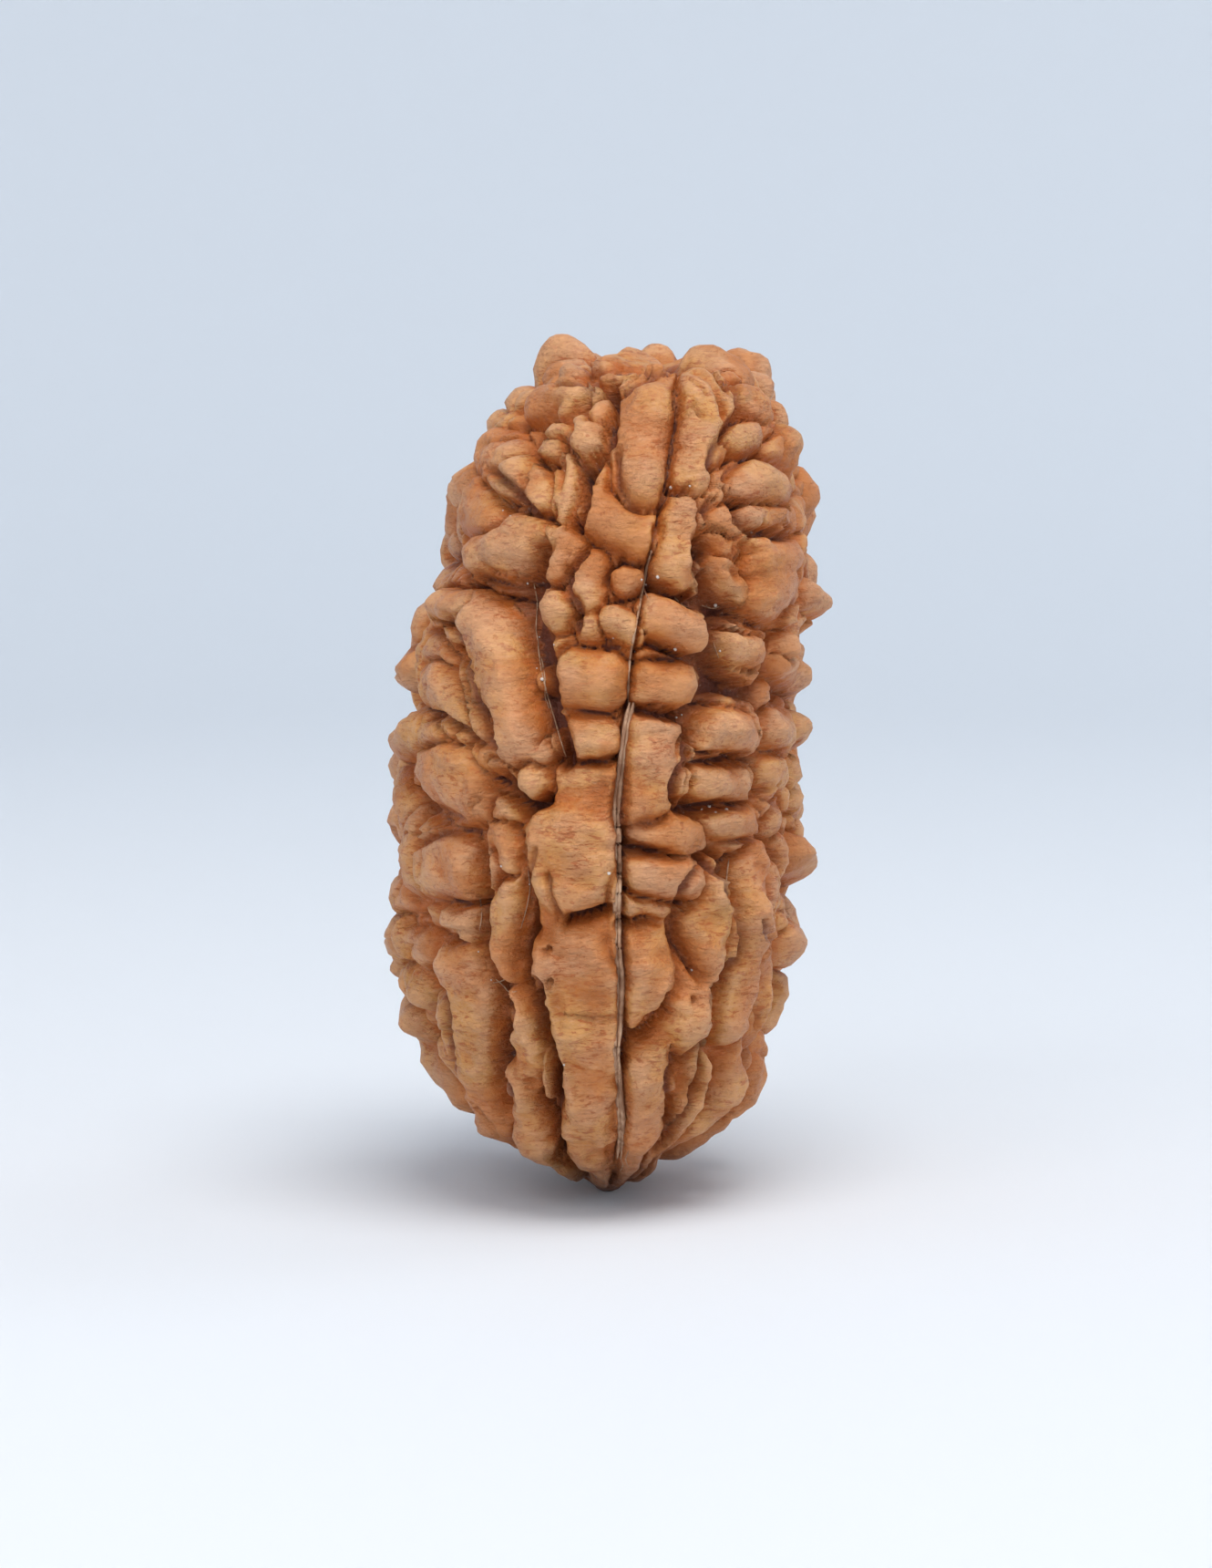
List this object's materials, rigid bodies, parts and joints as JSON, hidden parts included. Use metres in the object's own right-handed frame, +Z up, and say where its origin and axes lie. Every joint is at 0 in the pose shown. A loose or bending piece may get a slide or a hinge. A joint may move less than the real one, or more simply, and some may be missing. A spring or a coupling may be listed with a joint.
{
  "type": "rudraksha bead",
  "caption": "Natural rudraksha seed stone, a flattened oval covered in blunt lobes and winding ridges, with a groove line down each narrow edge, standing on its end on a small flat spot.",
  "frame": {"origin": "centre of the small flat spot that the bead stands on", "axes": "+Z up along the bead's long axis as it stands; -Y faces out of the narrow edge with the front groove line; X runs across the bead's narrow way and Y through its deep way"},
  "size_m": [0.0133, 0.0202, 0.0251],
  "materials": {
    "bead_wood": "matte"
  },
  "bodies": {
    "root": {"bead": "bead_wood"}
  },
  "joints": []
}
